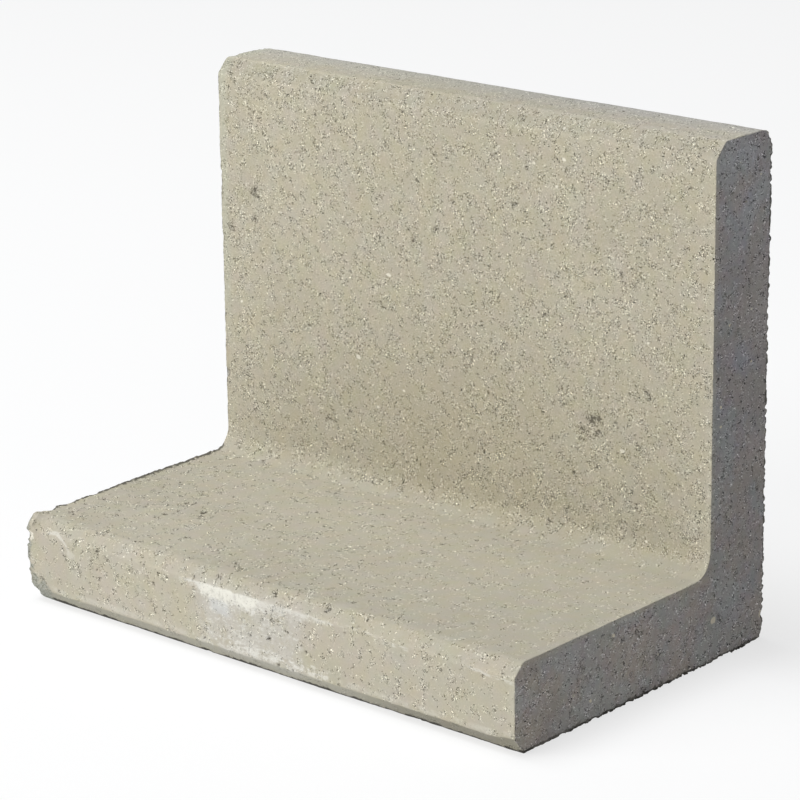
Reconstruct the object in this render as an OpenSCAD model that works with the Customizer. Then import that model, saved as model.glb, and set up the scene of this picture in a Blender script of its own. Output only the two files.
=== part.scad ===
// L-shaped retaining element of precast concrete, cast as one solid piece.
// The L section lies in the YZ plane and runs straight along X.
// +Z is up. The origin is the middle of the footprint, on the underside.
// The stem stands on the +Y side and the foot reaches towards -Y.

/* [Overall size] */
// Length of the element along the run of the wall
element_length = 500; // [300:10:1000]
// Depth of the element from the front of the toe to the back of the stem
foot_depth = 300; // [250:10:600]
// Height of the element from the underside to the top of the stem
stem_height = 400; // [250:10:800]

/* [Section thickness] */
// Thickness of the upright stem
stem_thickness = 70; // [60:1:120]
// Thickness of the foot
foot_thickness = 70; // [60:1:120]

/* [Moulded edges] */
// Radius of the fillet where the foot meets the stem
inner_fillet_r = 18; // [5:1:40]
// Size of the 45 degree bevel along the upper front edge of the stem
stem_bevel = 12; // [2:1:20]
// Size of the 45 degree bevel along the upper edge of the toe
toe_bevel = 10; // [2:1:20]
// Height of the steep bevel along the lower edge of the toe
toe_base_bevel_h = 12; // [2:1:25]
// Depth of the steep bevel along the lower edge of the toe
toe_base_bevel_d = 10; // [2:1:20]
// Radius of the upper back edge of the stem
stem_back_r = 14; // [2:1:30]
// Radius of the lower back edge
heel_r = 10; // [2:1:25]

/* [Hidden] */
$fn = 96;
// overshoot of the edge cutters past the faces they cut
over = 2;
front_y = -foot_depth / 2;
back_y = foot_depth / 2;
stem_front_y = back_y - stem_thickness;

// Waste outside a bevel running from [d, 0] to [0, h], for a corner at the
// origin with the solid in the first quadrant.
module bevel_waste(d, h) {
    polygon([[-over, -over],
             [d + over * d / h, -over],
             [-over, h + over * h / d]]);
}

// Waste outside a rounded corner of radius r, for the same kind of corner.
module round_waste(r) {
    difference() {
        translate([-over, -over]) square([r + over, r + over]);
        translate([r, r]) circle(r);
    }
}

// The L section: x is the depth (row Y), y is the height (row Z).
module l_section() {
    difference() {
        union() {
            // foot
            translate([front_y, 0]) square([foot_depth, foot_thickness]);
            // stem
            translate([stem_front_y, 0]) square([stem_thickness, stem_height]);
            // fillet between foot and stem
            translate([stem_front_y, foot_thickness]) mirror([1, 0])
                difference() {
                    translate([-over, -over])
                        square(inner_fillet_r + over);
                    translate([inner_fillet_r, inner_fillet_r])
                        circle(inner_fillet_r);
                }
        }
        // lower edge of the toe
        translate([front_y, 0])
            bevel_waste(toe_base_bevel_d, toe_base_bevel_h);
        // upper edge of the toe
        translate([front_y, foot_thickness]) mirror([0, 1])
            bevel_waste(toe_bevel, toe_bevel);
        // upper front edge of the stem
        translate([stem_front_y, stem_height]) mirror([0, 1])
            bevel_waste(stem_bevel, stem_bevel);
        // upper back edge of the stem
        translate([back_y, stem_height]) mirror([1, 0]) mirror([0, 1])
            round_waste(stem_back_r);
        // lower back edge
        translate([back_y, 0]) mirror([1, 0])
            round_waste(heel_r);
    }
}

// The one cast piece: the section run along X about the middle.
module retaining_element() {
    color([0.69, 0.66, 0.58])
        translate([-element_length / 2, 0, 0])
            rotate([90, 0, 90])
                linear_extrude(height = element_length)
                    l_section();
}

retaining_element();
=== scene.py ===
import math
import bpy
import numpy as np
from mathutils import Matrix, Vector
from mathutils.geometry import delaunay_2d_cdt


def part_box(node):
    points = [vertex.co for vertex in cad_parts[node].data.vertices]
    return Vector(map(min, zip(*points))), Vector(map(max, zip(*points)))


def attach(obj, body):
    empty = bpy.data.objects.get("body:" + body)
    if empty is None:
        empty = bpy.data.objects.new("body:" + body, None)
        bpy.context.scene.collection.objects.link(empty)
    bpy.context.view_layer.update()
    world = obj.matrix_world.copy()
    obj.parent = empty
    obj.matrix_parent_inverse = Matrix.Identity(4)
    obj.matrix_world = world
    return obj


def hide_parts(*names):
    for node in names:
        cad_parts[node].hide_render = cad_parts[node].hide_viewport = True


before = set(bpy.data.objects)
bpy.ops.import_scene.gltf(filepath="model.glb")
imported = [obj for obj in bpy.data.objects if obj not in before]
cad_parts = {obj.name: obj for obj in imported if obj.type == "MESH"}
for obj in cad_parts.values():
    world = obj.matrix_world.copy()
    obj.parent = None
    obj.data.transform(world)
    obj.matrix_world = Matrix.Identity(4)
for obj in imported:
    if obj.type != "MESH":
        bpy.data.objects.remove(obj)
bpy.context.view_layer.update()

NODE = "retaining_element"


def corners(b):
    """A box as two numpy points, whatever the container."""
    a = [tuple(float(c) for c in p) for p in b]
    return np.array(a[0]), np.array(a[1])


lo, hi = corners(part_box(NODE))

# ---------------------------------------------------------------- sizes, mm
MM = 1000.0
LX = (hi[0] - lo[0]) * MM          # length
DY = (hi[1] - lo[1]) * MM          # depth
HZ = (hi[2] - lo[2]) * MM          # height
CX = (hi[0] + lo[0]) * 0.5 * MM
CY = (hi[1] + lo[1]) * 0.5 * MM
Z0 = lo[2] * MM
HX = LX / 2
YF, YB = -DY / 2, DY / 2           # toe front, back of the stem
STEM, FOOT = 70.0, 70.0
SF = YB - STEM                     # front face of the stem
FILLET, STEM_BEV, TOE_BEV = 18.0, 12.0, 10.0
BASE_H, BASE_D, BACK_R, HEEL_R = 12.0, 10.0, 14.0, 10.0


# ---------------------------------------------------------------- noise
def _hash(ix, iy, iz, seed):
    h = (ix.astype(np.uint32) * np.uint32(374761393)
         + iy.astype(np.uint32) * np.uint32(668265263)
         + iz.astype(np.uint32) * np.uint32(2147483647)
         + np.uint32((seed * 1274126177) & 0xFFFFFFFF))
    h = (h ^ (h >> np.uint32(13))) * np.uint32(1274126177)
    h = h ^ (h >> np.uint32(16))
    h = (h * np.uint32(2246822519))
    h = h ^ (h >> np.uint32(15))
    return h


def _grad(h, x, y, z):
    h = h & np.uint32(15)
    u = np.where(h < 8, x, y)
    v = np.where(h < 4, y, np.where((h == 12) | (h == 14), x, z))
    return np.where(h & 1, -u, u) + np.where(h & 2, -v, v)


def perlin(P, scale, seed=0):
    """Gradient noise, about -1..1, features about `scale` mm across."""
    Q = P / scale + 137.13
    I = np.floor(Q).astype(np.int64)
    F = Q - I
    W = F * F * F * (F * (F * 6 - 15) + 10)
    out = np.zeros(len(P))
    for dx in (0, 1):
        for dy in (0, 1):
            for dz in (0, 1):
                g = _grad(_hash(I[:, 0] + dx, I[:, 1] + dy, I[:, 2] + dz, seed),
                          F[:, 0] - dx, F[:, 1] - dy, F[:, 2] - dz)
                w = ((W[:, 0] if dx else 1 - W[:, 0])
                     * (W[:, 1] if dy else 1 - W[:, 1])
                     * (W[:, 2] if dz else 1 - W[:, 2]))
                out += w * g
    return out


def fbm(P, scale, octaves=3, seed=0, gain=0.5):
    out = np.zeros(len(P))
    a = 1.0
    for k in range(octaves):
        out += a * perlin(P, scale / (2 ** k), seed + 17 * k)
        a *= gain
    return out


def cells(P, size, seed=0):
    """Distance to the nearest of scattered points, about 0 at a point to 1 between them."""
    Q = P / size + 211.7
    I = np.floor(Q).astype(np.int64)
    best = np.full(len(P), 9.0)
    for dx in (-1, 0, 1):
        for dy in (-1, 0, 1):
            for dz in (-1, 0, 1):
                J = I + np.array([dx, dy, dz])
                d2 = np.zeros(len(P))
                for k in range(3):
                    h = _hash(J[:, 0], J[:, 1], J[:, 2], seed + 101 * k + 7)
                    d2 += (J[:, k] + (h & np.uint32(0xFFFF)) / 65535.0 - Q[:, k]) ** 2
                best = np.minimum(best, d2)
    return np.minimum(np.sqrt(best), 1.2)


def smooth(e0, e1, x):
    t = np.clip((x - e0) / (e1 - e0), 0, 1)
    return t * t * (3 - 2 * t)


# ---------------------------------------------------------------- section
def arc(cy, cz, r, a0, a1, n):
    t = np.radians(np.linspace(a0, a1, n))
    return [(cy + r * math.cos(a), cz + r * math.sin(a)) for a in t]


def soften(pts, radii, n=5):
    """Round each corner of a closed polygon with its own small radius."""
    out = []
    m = len(pts)
    for i in range(m):
        p0, p1, p2 = (np.array(pts[(i + k) % m], float) for k in (-1, 0, 1))
        r = radii[i]
        if r <= 0:
            out.append(tuple(p1))
            continue
        a = (p0 - p1) / np.linalg.norm(p0 - p1)
        b = (p2 - p1) / np.linalg.norm(p2 - p1)
        half = math.acos(max(-1, min(1, float(a @ b)))) / 2
        d = r / math.tan(half)
        c = p1 + (a + b) / np.linalg.norm(a + b) * r / math.sin(half)
        s, e = p1 + a * d - c, p1 + b * d - c
        t0, t1 = math.atan2(s[1], s[0]), math.atan2(e[1], e[0])
        dt = (t1 - t0 + math.pi) % (2 * math.pi) - math.pi
        for k in range(n):
            t = t0 + dt * k / (n - 1)
            out.append((c[0] + r * math.cos(t), c[1] + r * math.sin(t)))
    return out


SHARP = [(YF + BASE_D, 0), (YB, 0), (YB, HZ), (SF + STEM_BEV, HZ), (SF, HZ - STEM_BEV),
         (SF, FOOT), (YF + TOE_BEV, FOOT), (YF, FOOT - TOE_BEV), (YF, BASE_H)]
KNEES = [1.2, HEEL_R, BACK_R, 6.0, 6.0, FILLET, 8.0, 4.0, 2.0]
ROUND = np.array(soften(SHARP, KNEES, 9))     # the target outline
BASE = np.array(soften(SHARP, [0, HEEL_R, BACK_R, 0, 0, FILLET, 0, 0, 0], 7))


def seg_dist(P2, poly):
    """Signed distance (inside negative) from points to a closed polygon."""
    A = poly
    B = np.roll(poly, -1, axis=0)
    AB = B - A
    L2 = (AB ** 2).sum(1)
    d2 = np.full(len(P2), 1e18)
    inside = np.zeros(len(P2), bool)
    y, z = P2[:, 0], P2[:, 1]
    for i in range(len(A)):
        if L2[i] < 1e-12:
            continue
        t = np.clip(((y - A[i, 0]) * AB[i, 0] + (z - A[i, 1]) * AB[i, 1]) / L2[i], 0, 1)
        dy = y - (A[i, 0] + t * AB[i, 0])
        dz = z - (A[i, 1] + t * AB[i, 1])
        d2 = np.minimum(d2, dy * dy + dz * dz)
        c = (A[i, 1] > z) != (B[i, 1] > z)
        if c.any():
            xi = A[i, 0] + (z - A[i, 1]) * AB[i, 0] / (AB[i, 1] if abs(AB[i, 1]) > 1e-12 else 1e-12)
            inside ^= c & (y < xi)
    d = np.sqrt(d2)
    return np.where(inside, -d, d)


class Grid:
    """The distance to the outline, kept on a half-millimetre grid."""

    def __init__(self, poly, step=0.5, pad=8.0):
        self.step = step
        self.y0, self.z0 = poly[:, 0].min() - pad, poly[:, 1].min() - pad
        ny = int((np.ptp(poly[:, 0]) + 2 * pad) / step) + 2
        nz = int((np.ptp(poly[:, 1]) + 2 * pad) / step) + 2
        yy, zz = np.meshgrid(self.y0 + step * np.arange(ny), self.z0 + step * np.arange(nz), indexing="ij")
        self.d = seg_dist(np.c_[yy.ravel(), zz.ravel()], poly).reshape(ny, nz)

    def __call__(self, P2):
        u = np.clip((P2[:, 0] - self.y0) / self.step, 0, self.d.shape[0] - 1.001)
        v = np.clip((P2[:, 1] - self.z0) / self.step, 0, self.d.shape[1] - 1.001)
        i, j = u.astype(int), v.astype(int)
        a, b = u - i, v - j
        d = self.d
        return ((d[i, j] * (1 - a) + d[i + 1, j] * a) * (1 - b)
                + (d[i, j + 1] * (1 - a) + d[i + 1, j + 1] * a) * b)


def perimeter(poly):
    d = np.linalg.norm(np.roll(poly, -1, axis=0) - poly, axis=1)
    return np.r_[0, np.cumsum(d)]


BASE_S = perimeter(BASE)
PER = BASE_S[-1]
print("perimeter mm", round(float(PER), 1))

# ---------------------------------------------------------------- base mesh
STEP = 7.0
sec_pts = []
for i in range(len(BASE)):
    a, b = BASE[i], BASE[(i + 1) % len(BASE)]
    ln = np.linalg.norm(b - a)
    if ln < 1e-6:
        continue
    n = max(1, int(round(ln / STEP)))
    for k in range(n):
        sec_pts.append(a + (b - a) * k / n)
sec_pts = np.array(sec_pts)
ns = len(sec_pts)
nx = int(round(LX / STEP))
xs = np.linspace(-HX, HX, nx + 1)

V = [np.c_[np.full(ns, x), sec_pts] for x in xs]
V = np.vstack(V)
T = []
C = []
for j in range(nx):
    for i in range(ns):
        i2 = (i + 1) % ns
        a, b, c, d = j * ns + i, j * ns + i2, (j + 1) * ns + i2, (j + 1) * ns + i
        # the outline runs +y first along the underside, so this order faces outwards
        if (i + j) % 2:
            T += [(a, c, d), (a, b, c)]
        else:
            T += [(a, b, d), (b, c, d)]
        C += [0, 0]

gy = np.arange(YF + 3.5, YB, STEP * 0.9)
gz = np.arange(3.5, HZ, STEP * 0.9)
G = np.array([(a + (0.25 if (k % 2) else -0.25) * STEP, b) for k, b in enumerate(gz) for a in gy])
G = G[seg_dist(G, BASE) < -3.2]
pts2 = [Vector((float(p[0]), float(p[1]))) for p in sec_pts] + [Vector((float(p[0]), float(p[1]))) for p in G]
edges2 = [(i, (i + 1) % ns) for i in range(ns)]
cv, ce, cf, ov, oe, of_ = delaunay_2d_cdt(pts2, edges2, [], 1, 1e-6)
cv2 = np.array([(p.x, p.y) for p in cv])
orig = {}
for k, o in enumerate(ov):
    orig[k] = o[0] if len(o) else -1
for side, base_row in ((-1, 0), (1, nx)):
    idx = {}
    extra = []
    for k in range(len(cv2)):
        o = orig[k]
        if 0 <= o < ns:
            idx[k] = base_row * ns + o
        else:
            idx[k] = len(V) + len(extra)
            extra.append((side * HX, cv2[k, 0], cv2[k, 1]))
    V = np.vstack([V, np.array(extra)])
    for f in cf:
        ids = list(f)
        for k in range(1, len(ids) - 1):
            p, q, r = ids[0], ids[k], ids[k + 1]
            cen = (cv2[p] + cv2[q] + cv2[r]) / 3
            if seg_dist(cen[None], BASE)[0] > 0:
                continue
            ar = np.cross(cv2[q] - cv2[p], cv2[r] - cv2[p])
            tri = (idx[p], idx[q], idx[r]) if (ar > 0) == (side > 0) else (idx[p], idx[r], idx[q])
            T.append(tri)
            C.append(side)
T = np.array(T, dtype=np.int64)
C = np.array(C, dtype=np.int8)
print("base", len(V), "verts", len(T), "tris")


# ---------------------------------------------------------------- marks of use and casting
# Each row: face, first coordinate, second coordinate, radius, depth (mm). Measured from the
# middle of the box along x, from the toe face towards the back for the foot, from the floor up
# for upright faces. "stem", "foot", "toe" share x; "end" uses y from the middle of the box.
def on_face(face, a, b):
    if face == "stem":
        return (a, SF, b)
    if face == "foot":
        return (a, b, FOOT)
    if face == "toe":
        return (a, YF, b)
    if face == "top":
        return (a, b, HZ)
    if face == "end":
        return (HX, a, b)
    if face == "endl":
        return (-HX, a, b)
    if face == "back":
        return (a, YB, b)
    raise ValueError(face)


PITS = [
    ("stem", 138, 170, 8.5, 2.6), ("stem", 129, 160, 6.0, 2.4), ("stem", 143, 160, 4.5, 2.0),
    ("stem", 127, 152, 3.0, 1.4), ("stem", 160, 172, 2.6, 1.5),
    ("stem", 189, 200, 5.5, 1.9), ("stem", 165, 289, 3.6, 1.6), ("stem", 168, 281, 2.4, 1.2),
    ("stem", 74, 356, 2.6, 1.7), ("stem", 63, 326, 2.6, 1.9), ("stem", 1, 319, 2.4, 1.7),
    ("stem", -17, 353, 2.6, 1.4), ("stem", -21, 357, 1.9, 1.2), ("stem", -142, 368, 1.8, 1.7),
    ("stem", -212, 294, 6.0, 2.9), ("stem", -208, 290, 3.4, 2.4), ("stem", -211, 271, 4.4, 2.2),
    ("stem", -239, 260, 5.0, 2.6), ("stem", -236, 266, 3.0, 1.6), ("stem", -107, 245, 2.0, 1.4),
    ("stem", -72, 221, 3.0, 1.7), ("stem", -75, 225, 2.0, 1.3), ("stem", -152, 192, 2.6, 1.2),
    ("stem", -40, 283, 4.6, 1.6), ("stem", -45, 289, 3.0, 1.3), ("stem", -17, 294, 2.6, 1.3),
    ("stem", 91, 244, 2.8, 1.5), ("stem", 42, 200, 1.8, 1.2), ("stem", 10, 129, 1.9, 1.3),
    ("stem", 120, 124, 2.4, 1.4), ("stem", -132, 116, 5.5, 1.5), ("stem", -123, 111, 3.2, 1.3),
    ("stem", -138, 121, 3.0, 1.2), ("stem", 182, 390, 3.2, 1.5), ("stem", -194, 393, 3.8, 1.9),
    ("stem", -201, 398, 2.6, 1.2), ("stem", -150, 205, 2.2, 1.1), ("stem", -96, 330, 2.4, 1.0),
    ("stem", 208, 262, 2.6, 1.0), ("stem", 36, 105, 2.6, 1.2), ("stem", 70, 112, 2.8, 1.2),
    ("foot", -146, -55, 3.6, 3.6), ("foot", -142, -62, 3.2, 3.4), ("foot", -139, -67, 1.8, 2.0),
    ("foot", -174, -23, 2.8, 1.6), ("foot", -172, -47, 3.8, 2.0), ("foot", -167, -43, 2.2, 1.6),
    ("foot", -164, -64, 3.0, 1.8), ("foot", -167, -77, 3.2, 2.3), ("foot", -162, -72, 2.2, 1.7),
    ("foot", -167, -86, 2.4, 1.9), ("foot", -195, 66, 3.2, 1.6), ("foot", -229, 50, 2.4, 1.5),
    ("foot", -164, 66, 2.0, 1.2), ("foot", -55, 57, 1.9, 1.4), ("foot", 5, 37, 2.2, 1.2),
    ("foot", 42, 32, 1.8, 1.2), ("foot", 49, 9, 2.8, 1.9), ("foot", 76, 9, 1.8, 1.3),
    ("foot", 63, -34, 2.0, 1.3), ("foot", -33, -74, 1.8, 1.4), ("foot", 17, -89, 2.8, 1.9),
    ("foot", -44, -123, 3.4, 2.4), ("foot", -46, -129, 2.2, 1.4), ("foot", 79, -128, 3.0, 2.0),
    ("foot", -230, -119, 3.8, 2.6), ("foot", -224, -122, 2.6, 1.8), ("foot", -232, -81, 3.6, 1.9),
    ("foot", -235, -99, 2.4, 1.5), ("foot", -210, -124, 3.6, 1.4), ("foot", -114, -105, 3.4, 1.4),
    ("foot", -42, -145, 3.0, 2.0), ("foot", 15, -144, 3.4, 1.7), ("foot", 68, -144, 2.8, 1.8),
    ("toe", 31, 41, 2.4, 2.0), ("toe", 10, 51, 2.2, 1.9), ("toe", -8, 46, 1.6, 1.3),
    ("toe", 13, 31, 2.6, 1.9), ("toe", -6, 29, 2.0, 1.5), ("toe", 46, 34, 1.8, 1.6),
    ("toe", 51, 30, 1.8, 1.5), ("toe", -54, 15, 2.0, 1.6), ("toe", -50, 51, 1.8, 1.4),
    ("toe", -170, 57, 4.2, 1.6), ("toe", -159, 53, 2.2, 1.6), ("toe", -134, 51, 2.0, 1.4),
    ("toe", -130, 52, 1.8, 1.3), ("toe", -108, 46, 3.0, 1.5), ("toe", -169, 36, 2.8, 1.5),
    ("toe", -126, 33, 2.0, 1.5), ("toe", -111, 31, 2.8, 1.4), ("toe", -170, 43, 1.6, 1.2),
    ("toe", -234, 22, 4.4, 1.4), ("toe", -215, 14, 2.2, 1.8), ("toe", -208, 47, 2.0, 0.9),
    ("toe", 182, 50, 3.0, 1.3), ("toe", 112, 52, 2.6, 1.2), ("toe", -118, 59, 2.0, 1.4),
    ("toe", 90, 55, 1.8, 1.3), ("toe", 22, 12, 2.4, 1.4), ("toe", 37, 12, 1.8, 1.3),
    ("end", 86, 370, 1.8, 1.5), ("end", 91, 336, 2.0, 1.7), ("end", 116, 305, 1.6, 1.4),
    ("end", 124, 290, 2.2, 1.4), ("end", 119, 85, 5.0, 1.4), ("end", -75, 47, 7.0, 1.3),
    ("end", -66, 35, 6.0, 1.2), ("end", -7, 52, 5.0, 1.4), ("end", 17, 27, 7.0, 1.5),
    ("end", -126, 62, 4.5, 1.3), ("end", -51, 14, 4.5, 1.3), ("end", 0, 5, 4.0, 1.5),
    ("end", 94, 33, 6.0, 1.5), ("end", 112, 255, 1.8, 1.2), ("end", 133, 182, 1.6, 1.0),
    ("end", 104, 205, 4.0, 1.2), ("end", 96, 150, 2.6, 1.2), ("end", 105, 118, 3.0, 1.2),
    ("end", -38, 57, 3.0, 1.4), ("end", 106, 378, 2.0, 1.1),
]
# pale bits of stone showing at the surface: face, two coordinates, half length, half width
FLECKS = [
    ("stem", -100, 175, 2.7, 1.8), ("stem", -66, 249, 2.6, 1.5), ("stem", 166, 151, 2.4, 1.7),
    ("stem", 103, 346, 1.9, 1.3), ("stem", 81, 361, 1.6, 1.2), ("stem", 110, 368, 2.0, 1.4),
    ("stem", 108, 391, 1.7, 1.2), ("stem", 94, 241, 1.6, 1.2), ("stem", 59, 259, 1.4, 1.0),
    ("stem", -52, 156, 1.8, 1.1), ("stem", -80, 137, 1.7, 1.2), ("stem", -229, 199, 1.3, 1.0),
    ("stem", 190, 240, 1.4, 1.0), ("stem", 27, 116, 1.5, 1.0), ("stem", 190, 84, 1.6, 1.0),
    ("toe", -245.6, 54.5, 3.6, 4.4),
    ("end", 91, 199, 1.6, 1.3), ("end", 91, 184, 1.4, 1.1), ("end", 85, 33, 3.4, 2.6),
    ("end", -37, 58, 2.2, 1.6), ("end", 17, 27, 1.3, 1.1), ("end", 146, 20, 1.6, 3.6),
    ("end", 128, 226, 1.3, 1.1), ("end", 100, 260, 1.2, 1.0), ("end", -64, 16, 1.6, 1.2),
]
rng = np.random.default_rng(7411)
for n_, face, ra, rb in ((26, "back", (-235, 235), (20, 380)), (10, "top", (-235, 235), (98, 142)),
                         (16, "endl", (86, 144), (10, 385)), (10, "endl", (-140, 80), (8, 60)),
                         (10, "stem", (-235, 235), (110, 385)), (6, "foot", (-100, 235), (-135, 55)),
                         (8, "end", (86, 144), (60, 385)), (6, "end", (-140, 80), (8, 60))):
    for _ in range(n_):
        PITS.append((face, rng.uniform(*ra), rng.uniform(*rb),
                     rng.uniform(1.5, 3.2), rng.uniform(0.7, 1.5)))
PIT_C = np.array([on_face(f, a, b) for f, a, b, r, d in PITS])
PIT_R = np.array([p[3] for p in PITS])
PIT_D = np.array([p[4] for p in PITS])
PIT_F = [p[0] for p in PITS]
FLK_C = np.array([on_face(f, a, b) for f, a, b, r, d in FLECKS])

# places where the edge has lost material: centre and half sizes, mm
CHIPS = [
    ((-HX, SF, 134), (4.8, 3.5, 4.5)), ((-HX, SF, 251), (3.5, 4.0, 6.0)),
    ((-HX, SF + 1, 300), (2.2, 3.0, 9.0)), ((-HX, YF + 1, 54.5), (4.8, 4.6, 3.4)),
    ((-HX, YF, 30), (2.2, 3.0, 4.0)), ((-HX, YF, 41), (2.0, 3.0, 2.6)),
    ((-HX - 1, YF + 1, 4), (9.5, 9.0, 11.0)), 
    ((-HX, -125, FOOT + 0.5), (5.5, 5.0, 3.2)), ((-HX, -104, FOOT), (3.0, 6.0, 2.6)),
    ((-HX, -78, FOOT), (3.5, 5.0, 2.4)), ((-HX, YF + 2, 19), (3.0, 3.0, 3.4)),
    ((HX, YB, 20), (2.6, 3.0, 4.0)), ((HX, YB, 118), (1.8, 2.6, 3.5)),
    ((HX, YB, 262), (1.6, 2.4, 5.0)), ((HX, 52, 0), (3.0, 8.0, 3.0)),
    ((HX, 96, 0), (3.0, 5.0, 2.6)), ((HX, 8, 0), (2.4, 4.0, 2.2)),
    ((HX, -20, 0), (2.4, 5.0, 2.4)), ((HX, -61, 0), (2.4, 3.5, 2.0)),
    ((HX, -96, 0), (2.4, 4.0, 2.0)), ((HX, YF + 2, 6), (3.0, 2.5, 3.0)),
    ((64, YF + 4, 2), (8.0, 3.4, 3.0)), ((150, YF + 8, 0), (6.0, 2.6, 2.2)),
    ((-60, YF + 8, 0), (5.0, 2.4, 2.0)), ((215, YF + 8, 0), (4.0, 2.4, 1.8)),
    ((-HX, YB, 210), (2.4, 3.0, 7.0)), ((-HX, YB, 90), (2.4, 2.4, 5.0)),
    ((-HX, 100, HZ), (3.0, 5.0, 2.6)), ((HX, 118, HZ), (1.6, 5.0, 1.2)),
    ((-120, YB, HZ - 4), (6.0, 3.0, 3.0)), ((190, YB - 3, HZ), (5.0, 3.0, 2.0)),
    ((-12, YF + 2, 64), (5.0, 2.0, 1.6)), ((104, YF + 1, 62), (6.0, 1.8, 1.5)),
]

KNEE_PTS = np.array([(YF + BASE_D, 0), (YF, BASE_H), (YF, FOOT - TOE_BEV), (YF + TOE_BEV, FOOT),
                     (SF, HZ - STEM_BEV), (SF + STEM_BEV, HZ), (YB - 4, HZ - 4),
                     (YB - 3, 3)], float)
FILLET_C = np.array([SF - FILLET, FOOT + FILLET])


def wanted(M, cls):
    """Edge length wanted at each point of the undisturbed surface, mm."""
    x, y, z = M[:, 0], M[:, 1], M[:, 2]
    hidden = (z < 0.5) | (y > YB - 0.5)
    h = np.where(hidden, 12.0, 9.0)
    strip = cls == 0
    # towards the end faces, along the run
    de = HX - np.abs(x)
    h = np.where(strip, np.minimum(h, 1.15 + 0.50 * np.maximum(0, de - 2.6)), h)
    # long arrises
    kd = np.full(len(M), 1e9)
    for ky, kz in KNEE_PTS:
        kd = np.minimum(kd, np.hypot(y - ky, z - kz))
    h = np.where(strip, np.minimum(h, 2.6 + 0.5 * np.maximum(0, kd - 3.5)), h)
    fd = np.hypot(y - FILLET_C[0], z - FILLET_C[1]) - FILLET
    infil = (y > FILLET_C[0] - 4) & (z < FILLET_C[1] + 4) & (fd > -2) & (fd < 9) & strip
    h = np.where(infil, np.minimum(h, 4.5), h)
    cap = ~strip
    if cap.any():
        d = -seg_dist(M[cap][:, 1:3], BASE)
        hc = np.minimum(np.where(x[cap] > 0, 7.5, 9.5), 1.15 + 0.50 * np.maximum(0, d - 2.4))
        h[cap] = np.minimum(h[cap], hc)
    # around each pit
    for c, r in zip(PIT_C, PIT_R):
        near = np.abs(M - c).max(1) < r * 1.3 + 12
        if near.any():
            dd = np.linalg.norm(M[near] - c, axis=1)
            h[near] = np.minimum(h[near], max(1.05, 0.38 * r) + 0.8 * np.maximum(0, dd - r * 1.1))
    for c in FLK_C:
        near = np.abs(M - c).max(1) < 8
        if near.any():
            h[near] = np.minimum(h[near], 0.85 + 0.55 * np.maximum(0, np.linalg.norm(M[near] - c, axis=1) - 2.6))
    # the broken left end of the toe
    low = (x < -HX + 8) & (z < FOOT + 2) & (y < YF + 26)
    h = np.where(low, np.minimum(h, 1.0), h)
    # raised lip along the left edge of the foot
    lip = (M[:, 0] < -HX + 9) & (np.abs(z - FOOT) < 1) & (y < 70) & strip
    h = np.where(lip, np.minimum(h, 1.15), h)
    for c, s in CHIPS:
        near = np.abs(M - np.array(c)).max(1) < max(s) + 10
        if near.any():
            q = np.abs(M[near] - np.array(c)) - np.array(s) * 1.2
            dd = np.linalg.norm(np.maximum(q, 0), axis=1)
            h[near] = np.minimum(h[near], 0.95 + 0.5 * dd)
    return h


def refine(V, T, C, rounds=16, cap=198500):
    for it in range(rounds):
        n = len(T)
        E = np.sort(np.vstack([T[:, [0, 1]], T[:, [1, 2]], T[:, [2, 0]]]), axis=1)
        key = E[:, 0] * (len(V) + 1) + E[:, 1]
        uk, inv = np.unique(key, return_inverse=True)
        a, b = uk // (len(V) + 1), uk % (len(V) + 1)
        ln = np.linalg.norm(V[a] - V[b], axis=1)
        ecls = np.zeros(len(uk), int)
        tri_c = np.tile(C, 3)
        cnt_strip = np.zeros(len(uk), bool)
        np.logical_or.at(cnt_strip, inv, tri_c == 0)
        ecls = np.where(cnt_strip, 0, 1)
        h = wanted((V[a] + V[b]) / 2, ecls)
        mark = ln > h * 1.22
        ei = inv.reshape(3, n).T
        tl = ln[ei] + 1e-9 * ei
        longest = ei[np.arange(n), tl.argmax(1)]
        if not mark.any():
            break
        while True:
            need = mark[ei].any(1) & ~mark[longest]
            if not need.any():
                break
            mark[longest[need]] = True
        grow = mark[ei].sum()
        if n + grow > cap:
            # stop refining here, before the cap is passed
            print("triangle cap reached at", n, "wanted", n + grow)
            break
        mid = -np.ones(len(uk), np.int64)
        mid[mark] = len(V) + np.arange(mark.sum())
        V = np.vstack([V, (V[a[mark]] + V[b[mark]]) / 2])
        k = tl.argmax(1)
        rows = np.arange(n)
        v0, v1, v2 = T[rows, k], T[rows, (k + 1) % 3], T[rows, (k + 2) % 3]
        m0, m1, m2 = mid[ei[rows, k]], mid[ei[rows, (k + 1) % 3]], mid[ei[rows, (k + 2) % 3]]
        keep = m0 < 0
        newT, newC = [T[keep]], [C[keep]]
        s = ~keep
        s1 = s & (m1 < 0)
        newT.append(np.c_[m0[s1], v1[s1], v2[s1]]); newC.append(C[s1])
        s1 = s & (m1 >= 0)
        newT.append(np.c_[m0[s1], v1[s1], m1[s1]]); newC.append(C[s1])
        newT.append(np.c_[m0[s1], m1[s1], v2[s1]]); newC.append(C[s1])
        s2 = s & (m2 < 0)
        newT.append(np.c_[v0[s2], m0[s2], v2[s2]]); newC.append(C[s2])
        s2 = s & (m2 >= 0)
        newT.append(np.c_[v0[s2], m0[s2], m2[s2]]); newC.append(C[s2])
        newT.append(np.c_[m2[s2], m0[s2], v2[s2]]); newC.append(C[s2])
        T, C = np.vstack(newT), np.concatenate(newC)
        print("refine", it, len(V), len(T))
    return V, T, C


V, T, C = refine(V, T, C)
V0 = V.copy()                                    # the undisturbed surface

# ---------------------------------------------------------------- true surface
sect = Grid(ROUND)
x0, y0, z0 = V0.T
right = V0[:, 0] > 0
de = HX - np.abs(x0)
backish = smooth(YB - 30, YB - 2, y0)
lowish = 1 - smooth(0.0, 10, z0)
rough_edge = np.maximum(backish, lowish)

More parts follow.
